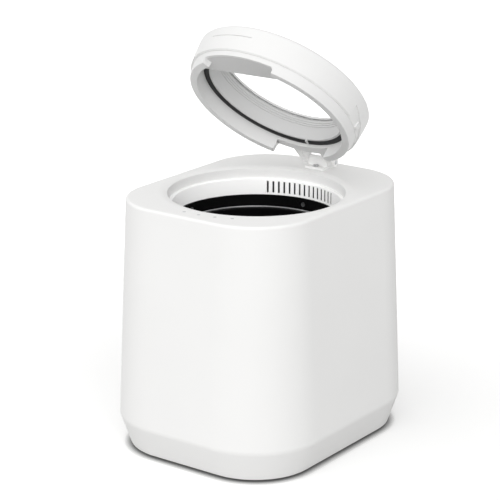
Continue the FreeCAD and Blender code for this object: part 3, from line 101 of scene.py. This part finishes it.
# Surface detail. A noise is its scale in cycles per metre and its detail. A bump is its strength and its
# height in metres. A swing is taken off and added to the roughness. Shares are the lowest and highest of the
# colour.
RAMP_PLACES = (0.3, 0.7)
PLASTIC_DRIFT = (9.0, 2.0)
PLASTIC_SHARES = (0.985, 1.0)
PLASTIC_GRAIN = (2600.0, 3.0)
PLASTIC_SWING = (0.06, 0.06)
PLASTIC_BUMP = (0.12, 0.00004)
COAT_FLECKS = (1800.0, 2.0)
COAT_SHARES = (0.7, 1.6)
COAT_PEEL = (420.0, 3.0)
COAT_SWING = (0.05, 0.08)
COAT_BUMP = (0.08, 0.00006)
COAT_GLOSS = 0.12
METAL_LINES = (300.0, 4.0)
METAL_DRAWN = (1, 1, 30)
METAL_CAST = (1, 1, 1)
METAL_SHARES = (0.86, 1.0)
METAL_SWING = (0.08, 0.1)
METAL_BUMP = (0.1, 0.00003)
RUBBER_BLOOM = (160.0, 3.0)
RUBBER_SHARES = (0.8, 1.25)
RUBBER_ROUGHNESS = (0.62, 0.82)
RUBBER_GRAIN = (2200.0, 2.0)
RUBBER_BUMP = (0.15, 0.00005)
BOARD_TRACK_SCALE = 90.0
BOARD_TRACK_WIDTH = 0.06
BOARD_TRACK_SHARE = 1.7
BOARD_SHARES = (0.85, 1.0)
BOARD_SHEEN = (500.0, 2.0)
BOARD_ROUGHNESS = (0.3, 0.45)
WINDOW_WIPES = (26.0, 4.0)
WINDOW_WIPE_STRETCH = (1, 5, 1)
WINDOW_SHARES = (0.97, 1.0)
WINDOW_ROUGHNESS = (0.03, 0.09)
WINDOW_ALPHA = 0.05
WINDOW_IOR = 1.49
CARBON_GRAIN_SCALE = 420.0
CARBON_SHARES = (0.6, 1.8)
CARBON_BUMP = (0.5, 0.0006)


def new_material(name):
    """New node material, with its tree and its shader."""
    material = bpy.data.materials.new(name)
    material.use_nodes = True
    tree = material.node_tree
    shader = tree.nodes["Principled BSDF"]
    return material, tree, shader


def noise(tree, field_values, stretch=(1, 1, 1)):
    """Noise in object space, stretched along an axis if asked."""
    scale, detail = field_values
    place = tree.nodes.new("ShaderNodeTexCoord")
    mapping = tree.nodes.new("ShaderNodeMapping")
    mapping.inputs["Scale"].default_value = stretch
    field = tree.nodes.new("ShaderNodeTexNoise")
    field.inputs["Scale"].default_value = scale
    field.inputs["Detail"].default_value = detail
    tree.links.new(place.outputs["Object"], mapping.inputs["Vector"])
    tree.links.new(mapping.outputs["Vector"], field.inputs["Vector"])
    return field.outputs["Fac"]


def shaded(colour, share):
    """A share of a colour, with full alpha."""
    return tuple(channel * share for channel in colour) + (1.0,)


def vary_colour(tree, shader, fac, colour, shares):
    """Let the colour wander a little between two shares of itself."""
    ramp = tree.nodes.new("ShaderNodeValToRGB")
    for element, place, share in zip(ramp.color_ramp.elements, RAMP_PLACES, shares):
        element.position = place
        element.color = shaded(colour, share)
    tree.links.new(fac, ramp.inputs["Fac"])
    tree.links.new(ramp.outputs["Color"], shader.inputs["Base Color"])


def vary_roughness(tree, shader, fac, low, high):
    """Let the roughness wander between two values."""
    reach = tree.nodes.new("ShaderNodeMapRange")
    reach.inputs["To Min"].default_value = low
    reach.inputs["To Max"].default_value = high
    tree.links.new(fac, reach.inputs["Value"])
    tree.links.new(reach.outputs["Result"], shader.inputs["Roughness"])


def swing_roughness(tree, shader, fac, roughness, swing):
    """Let the roughness wander a little below and above its own value."""
    vary_roughness(tree, shader, fac, roughness - swing[0], roughness + swing[1])


def add_bump(tree, shader, fac, bump_values):
    """Raise and sink the surface by a field."""
    strength, distance = bump_values
    bump = tree.nodes.new("ShaderNodeBump")
    bump.inputs["Strength"].default_value = strength
    bump.inputs["Distance"].default_value = distance
    tree.links.new(fac, bump.inputs["Height"])
    tree.links.new(bump.outputs["Normal"], shader.inputs["Normal"])


def grain_plastic(name, tree, shader):
    """Fine spark-eroded grain and uneven sheen of a plastic surface."""
    grain = noise(tree, PLASTIC_GRAIN)
    swing_roughness(tree, shader, grain, ROUGHNESS[name], PLASTIC_SWING)
    add_bump(tree, shader, grain, PLASTIC_BUMP)
    shader.inputs["Specular IOR Level"].default_value = DULL_GLOSS.get(name, PLASTIC_GLOSS)


def moulded_plastic(name, colour):
    """Moulded plastic: faint tone drift and fine grain."""
    material, tree, shader = new_material(name)
    vary_colour(tree, shader, noise(tree, PLASTIC_DRIFT), colour, PLASTIC_SHARES)
    grain_plastic(name, tree, shader)
    return material


def blend_colours(tree, factor, first, second):
    """Colour that goes from the first to the second. The second may be another node's output."""
    mix = tree.nodes.new("ShaderNodeMix")
    mix.data_type = "RGBA"
    mix.inputs["A"].default_value = first
    if isinstance(second, tuple):
        mix.inputs["B"].default_value = second
    else:
        tree.links.new(second, mix.inputs["B"])
    tree.links.new(factor, mix.inputs["Factor"])
    return mix.outputs["Result"]


def beyond(tree, value, start, depth):
    """0 below a start value, 1 from a little past it."""
    reach = tree.nodes.new("ShaderNodeMapRange")
    reach.inputs["From Min"].default_value = start
    reach.inputs["From Max"].default_value = start + depth
    tree.links.new(value, reach.inputs["Value"])
    return reach.outputs["Result"]


def slotted_plastic_painted_shade(name, colour):
    """White plastic with painted shade on the walls of its narrow vent slits, behind the wall's face."""
    material, tree, shader = new_material(name)
    liner_low, liner_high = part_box("well_liner")
    collar_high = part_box("opening_collar")[1]
    middle = [(low + high) / 2 for low, high in zip(liner_low, liner_high)]
    place = tree.nodes.new("ShaderNodeTexCoord")
    offset = tree.nodes.new("ShaderNodeVectorMath")
    offset.operation = "SUBTRACT"
    offset.inputs[1].default_value = (middle[0], middle[1], 0)
    flat = tree.nodes.new("ShaderNodeVectorMath")
    flat.operation = "MULTIPLY"
    flat.inputs[1].default_value = (1, 1, 0)
    radius = tree.nodes.new("ShaderNodeVectorMath")
    radius.operation = "LENGTH"
    parts = tree.nodes.new("ShaderNodeSeparateXYZ")
    tree.links.new(place.outputs["Object"], offset.inputs[0])
    tree.links.new(offset.outputs["Vector"], flat.inputs[0])
    tree.links.new(flat.outputs["Vector"], radius.inputs[0])
    tree.links.new(place.outputs["Object"], parts.inputs["Vector"])
    behind = beyond(tree, radius.outputs["Value"], liner_high[0] + SLIT_SHADE_START, SLIT_SHADE_DEPTH)
    over = beyond(tree, parts.outputs["Z"], collar_high[2] - SLIT_SHADE_DROP, SLIT_SHADE_DEPTH)
    below = tree.nodes.new("ShaderNodeMath")
    below.operation = "SUBTRACT"
    below.use_clamp = True
    tree.links.new(behind, below.inputs[0])
    tree.links.new(over, below.inputs[1])
    # Painted shade: the slit walls take the dark slit shade colour
    shade = blend_colours(tree, below.outputs[0], shaded(colour, 1.0), shaded(SLIT_SHADE, 1.0))
    tree.links.new(shade, shader.inputs["Base Color"])
    grain_plastic(name, tree, shader)
    return material


def coated_metal(name, colour):
    """Dark non-stick coat or paint: tiny flecks and a slightly orange-peel surface."""
    material, tree, shader = new_material(name)
    peel = noise(tree, COAT_PEEL)
    vary_colour(tree, shader, noise(tree, COAT_FLECKS), colour, COAT_SHARES)
    swing_roughness(tree, shader, peel, ROUGHNESS[name], COAT_SWING)
    add_bump(tree, shader, peel, COAT_BUMP)
    shader.inputs["Specular IOR Level"].default_value = COAT_GLOSS
    return material


def brushed_metal(name, colour, stretch=METAL_DRAWN):
    """Bare metal with fine drawn or turned lines, or with a cast skin."""
    material, tree, shader = new_material(name)
    lines = noise(tree, METAL_LINES, stretch)
    vary_colour(tree, shader, lines, colour, METAL_SHARES)
    swing_roughness(tree, shader, lines, ROUGHNESS[name], METAL_SWING)
    add_bump(tree, shader, lines, METAL_BUMP)
    shader.inputs["Metallic"].default_value = 1.0
    return material


def soft_rubber(name, colour):
    """Rubber with a dull bloom in patches."""
    material, tree, shader = new_material(name)
    bloom = noise(tree, RUBBER_BLOOM)
    vary_colour(tree, shader, bloom, colour, RUBBER_SHARES)
    vary_roughness(tree, shader, bloom, *RUBBER_ROUGHNESS)
    add_bump(tree, shader, noise(tree, RUBBER_GRAIN), RUBBER_BUMP)
    return material


def circuit_board(name, colour):
    """Solder mask with fine straight tracks under it."""
    material, tree, shader = new_material(name)
    place = tree.nodes.new("ShaderNodeTexCoord")
    tracks = tree.nodes.new("ShaderNodeTexBrick")
    tracks.inputs["Scale"].default_value = BOARD_TRACK_SCALE
    tracks.inputs["Mortar Size"].default_value = BOARD_TRACK_WIDTH
    tracks.inputs["Color1"].default_value = shaded(colour, BOARD_SHARES[1])
    tracks.inputs["Color2"].default_value = shaded(colour, BOARD_SHARES[0])
    tracks.inputs["Mortar"].default_value = shaded(colour, BOARD_TRACK_SHARE)
    tree.links.new(place.outputs["Object"], tracks.inputs["Vector"])
    tree.links.new(tracks.outputs["Color"], shader.inputs["Base Color"])
    vary_roughness(tree, shader, noise(tree, BOARD_SHEEN), *BOARD_ROUGHNESS)
    return material


def clear_plastic(name, colour):
    """Clear window: mostly see-through, with faint wipe marks in its gloss."""
    material, tree, shader = new_material(name)
    wipes = noise(tree, WINDOW_WIPES, WINDOW_WIPE_STRETCH)
    vary_colour(tree, shader, wipes, colour, WINDOW_SHARES)
    vary_roughness(tree, shader, wipes, *WINDOW_ROUGHNESS)
    shader.inputs["Alpha"].default_value = WINDOW_ALPHA
    shader.inputs["IOR"].default_value = WINDOW_IOR
    return material


def charcoal_block(name, colour):
    """Filter cartridge: coarse carbon grains behind a fine sleeve."""
    material, tree, shader = new_material(name)
    place = tree.nodes.new("ShaderNodeTexCoord")
    grains = tree.nodes.new("ShaderNodeTexVoronoi")
    grains.inputs["Scale"].default_value = CARBON_GRAIN_SCALE
    tree.links.new(place.outputs["Object"], grains.inputs["Vector"])
    vary_colour(tree, shader, grains.outputs["Distance"], colour, CARBON_SHARES)
    add_bump(tree, shader, grains.outputs["Distance"], CARBON_BUMP)
    shader.inputs["Roughness"].default_value = ROUGHNESS[name]
    return material


def make_materials():
    """One material per kind of surface, with the CAD nodes that wear it."""
    return (
        (moulded_plastic("white_satin", WHITE),
         ("outer_shell", "hinge_bracket", "hinge_arms", "filter_drawer")),
        # Deck: painted light, a lighter copy of the shell's white
        (moulded_plastic("white_deck_painted_light", WHITE_DECK_PAINTED_LIGHT), ("top_cover",)),
        # Lid dome: painted shade, a darker copy of the white
        (moulded_plastic("white_lid_painted_shade", WHITE_LID_PAINTED_SHADE), ("lid_dome",)),
        # Collar: painted light in its lighter white, and painted shade in its slits
        (slotted_plastic_painted_shade("white_slotted_painted_light_and_shade", WHITE_COLLAR_PAINTED_LIGHT), ("opening_collar",)),
        # Lid skirt: painted shade, a darker copy of the white
        (moulded_plastic("white_skirt_painted_shade", WHITE_SKIRT_PAINTED_SHADE), ("lid_skirt",)),
        # Lid inside: painted shade, a much darker copy of the white
        (moulded_plastic("white_inner_painted_shade", WHITE_INNER_PAINTED_SHADE), ("lid_inner_ring", "lid_pocket")),
        (moulded_plastic("base_grey", WHITE_BASE), ("base_plate",)),
        (moulded_plastic("grey_moulding", GREY_PLASTIC), ("filter_sleeve",)),
        (moulded_plastic("duct_moulding", DUCT_GREY), ("air_duct",)),
        (moulded_plastic("black_moulding", BLACK_PLASTIC),
         ("fan_frame", "fan_rotor", "power_inlet", "board_parts")),
        (moulded_plastic("mark_lens", MARK_GREY), ("touch_marks",)),
        (moulded_plastic("gear_nylon", NYLON), ("output_gear",)),
        (coated_metal("well_coat", BLACK_COAT), ("well_liner", "well_floor")),
        (coated_metal("bucket_coat", BLACK_COAT), ("bucket", "agitator")),
        (coated_metal("motor_coat", MOTOR_PAINT), ("gear_motor",)),
        (brushed_metal("plain_steel", STEEL),
         ("base_screws", "liner_rivets", "chassis", "hinge_screws", "hinge_pin", "drive_coupling",
          "output_shaft", "motor_shaft")),
        (brushed_metal("bright_edge", BRIGHT_STEEL), ("bucket_rim_ring",)),
        (brushed_metal("cast_aluminium", CAST_ALUMINIUM, METAL_CAST), ("heater_plate",)),
        (brushed_metal("turned_brass", BRASS),
         ("bucket_bush", "shaft_bush", "inlet_pins", "board_standoffs", "motor_pinion")),
        (soft_rubber("black_rubber", BLACK_RUBBER), ("feet", "lid_gasket", "liner_seal")),
        (circuit_board("board_mask", BOARD_GREEN), ("main_board", "control_board")),
        (charcoal_block("carbon", CHARCOAL), ("filter_cartridge",)),
        (clear_plastic("clear_window", CLEAR), ("lid_window",)),
    )


def dress(frame):
    """Give every CAD node its material."""
    for material, nodes in make_materials():
        for node in nodes:
            slots = frame["nodes"][node].data.materials
            slots.clear()
            slots.append(material)


def seen_directly(tree):
    """1 for camera, mirror and see-through rays, so the backdrop shows white to them."""
    path = tree.nodes.new("ShaderNodeLightPath")
    total = path.outputs["Is Camera Ray"]
    for kind in ("Is Glossy Ray", "Is Transmission Ray"):
        larger = tree.nodes.new("ShaderNodeMath")
        larger.operation = "MAXIMUM"
        tree.links.new(total, larger.inputs[0])
        tree.links.new(path.outputs[kind], larger.inputs[1])
        total = larger.outputs[0]
    return total


def make_world():
    """Soft sky light that changes from front to rear, behind a white backdrop."""
    world = bpy.data.worlds.new("studio")
    bpy.context.scene.world = world
    world.use_nodes = True
    tree = world.node_tree
    sky = tree.nodes["Background"]
    sky.inputs["Color"].default_value = WHITE_LIGHT
    level = tree.nodes.new("ShaderNodeMapRange")
    level.inputs["To Max"].default_value = BACKDROP_LEVEL
    place = tree.nodes.new("ShaderNodeTexCoord")
    parts = tree.nodes.new("ShaderNodeSeparateXYZ")
    side = tree.nodes.new("ShaderNodeMapRange")
    side.inputs["From Min"].default_value = -SKY_TURN
    side.inputs["From Max"].default_value = SKY_TURN
    side.inputs["To Min"].default_value = SKY_FRONT_LEVEL
    side.inputs["To Max"].default_value = SKY_REAR_LEVEL
    tree.links.new(place.outputs["Generated"], parts.inputs["Vector"])
    tree.links.new(parts.outputs["Y"], side.inputs["Value"])
    tree.links.new(side.outputs["Result"], level.inputs["To Min"])
    tree.links.new(seen_directly(tree), level.inputs["Value"])
    tree.links.new(level.outputs["Result"], sky.inputs["Strength"])


def contact_share(tree):
    """Share of its tone that the floor keeps: less where the object hides much of what is close above."""
    openness = tree.nodes.new("ShaderNodeAmbientOcclusion")
    openness.samples = CONTACT_SAMPLES
    openness.inputs["Distance"].default_value = CONTACT_REACH
    share = tree.nodes.new("ShaderNodeMapRange")
    share.inputs["From Min"].default_value = CONTACT_DARK_AT
    share.inputs["From Max"].default_value = CONTACT_CLEAR_AT
    share.inputs["To Min"].default_value = CONTACT_DARK_SHARE
    share.inputs["To Max"].default_value = 1.0
    tree.links.new(openness.outputs["AO"], share.inputs["Value"])
    return share.outputs["Result"]


def far_glow(tree):
    """Glow that rises with the distance from the object, so the floor fades into the backdrop."""
    place = tree.nodes.new("ShaderNodeTexCoord")
    reach = tree.nodes.new("ShaderNodeVectorMath")
    reach.operation = "LENGTH"
    fade = tree.nodes.new("ShaderNodeMapRange")
    fade.interpolation_type = "SMOOTHSTEP"
    fade.inputs["From Min"].default_value = FLOOR_FADE_START
    fade.inputs["From Max"].default_value = FLOOR_FADE_END
    fade.inputs["To Min"].default_value = FLOOR_GLOW_NEAR
    fade.inputs["To Max"].default_value = FLOOR_GLOW_FAR
    tree.links.new(place.outputs["Object"], reach.inputs[0])
    tree.links.new(reach.outputs["Value"], fade.inputs["Value"])
    return fade.outputs["Result"]


def multiply(tree, first, second):
    """Product of two node outputs."""
    product = tree.nodes.new("ShaderNodeMath")
    product.operation = "MULTIPLY"
    tree.links.new(first, product.inputs[0])
    tree.links.new(second, product.inputs[1])
    return product.outputs[0]


def floor_paper():
    """Pale paper: direct rays see it white, with the contact shadow, and other rays get a dimmer bounce."""
    material, tree, shader = new_material("floor_paper")
    direct = seen_directly(tree)
    contact = contact_share(tree)
    pale = blend_colours(tree, contact, shaded(FLOOR_COLOUR, 0.0), shaded(FLOOR_COLOUR, 1.0))
    paper = blend_colours(tree, direct, shaded(FLOOR_COLOUR, FLOOR_BOUNCE_SHARE), pale)
    glow = multiply(tree, direct, multiply(tree, far_glow(tree), contact))
    tree.links.new(paper, shader.inputs["Base Color"])
    tree.links.new(glow, shader.inputs["Emission Strength"])
    shader.inputs["Emission Color"].default_value = WHITE_LIGHT
    shader.inputs["Roughness"].default_value = FLOOR_ROUGHNESS
    shader.inputs["Specular IOR Level"].default_value = 0.0
    return material


def make_floor():
    """Pale floor that keeps the object's shadow and fades into the white backdrop."""
    half = FLOOR_HALF
    mesh = bpy.data.meshes.new("floor")
    corners = [(-half, -half, -FLOOR_DROP), (half, -half, -FLOOR_DROP), (half, half, -FLOOR_DROP),
               (-half, half, -FLOOR_DROP)]
    mesh.from_pydata(corners, [], [(0, 1, 2, 3)])
    mesh.materials.append(floor_paper())
    floor = bpy.data.objects.new("floor", mesh)
    bpy.context.collection.objects.link(floor)


def aim(obj, place, target):
    """Put a lamp or camera in place and turn it to a target."""
    obj.location = place
    obj.rotation_euler = (Vector(target) - Vector(place)).to_track_quat("-Z", "Y").to_euler()


def make_lamp(name, place, size, power):
    """Soft round lamp that looks at the object."""
    data = bpy.data.lights.new(name, "AREA")
    data.shape = "DISK"
    data.size = size
    data.energy = power
    lamp = bpy.data.objects.new(name, data)
    bpy.context.collection.objects.link(lamp)
    aim(lamp, place, LIGHT_TARGET)
    return lamp


def light_only(lamp, nodes):
    """Let a lamp light these nodes alone, while every piece still throws its shadow on them."""
    lit = bpy.data.collections.new(lamp.name + "_lit")
    for node in nodes:
        lit.objects.link(node)
    lamp.light_linking.receiver_collection = lit


def make_camera():
    """Camera that frames the object as the photograph does."""
    data = bpy.data.cameras.new("camera")
    data.lens = CAMERA_LENS
    data.sensor_width = CAMERA_SENSOR
    data.clip_end = FLOOR_HALF + FLOOR_HALF
    camera = bpy.data.objects.new("camera", data)
    bpy.context.collection.objects.link(camera)
    aim(camera, CAMERA_PLACE, CAMERA_TARGET)
    bpy.context.scene.camera = camera


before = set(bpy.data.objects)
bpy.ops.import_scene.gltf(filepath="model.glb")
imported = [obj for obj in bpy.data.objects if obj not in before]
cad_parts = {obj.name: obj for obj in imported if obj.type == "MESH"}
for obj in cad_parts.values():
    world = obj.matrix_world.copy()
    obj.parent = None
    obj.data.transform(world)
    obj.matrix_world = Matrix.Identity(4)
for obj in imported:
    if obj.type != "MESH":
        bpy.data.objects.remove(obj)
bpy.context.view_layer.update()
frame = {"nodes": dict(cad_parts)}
dress(frame)
make_world()
make_floor()
for lamp in LAMPS:
    make_lamp(*lamp)
for lamp in OPENING_FILLS:
    light_only(make_lamp(*lamp), [frame["nodes"][name] for name in OPENING_FILL_NODES])
make_camera()
bpy.context.scene.view_settings.view_transform = "Standard"
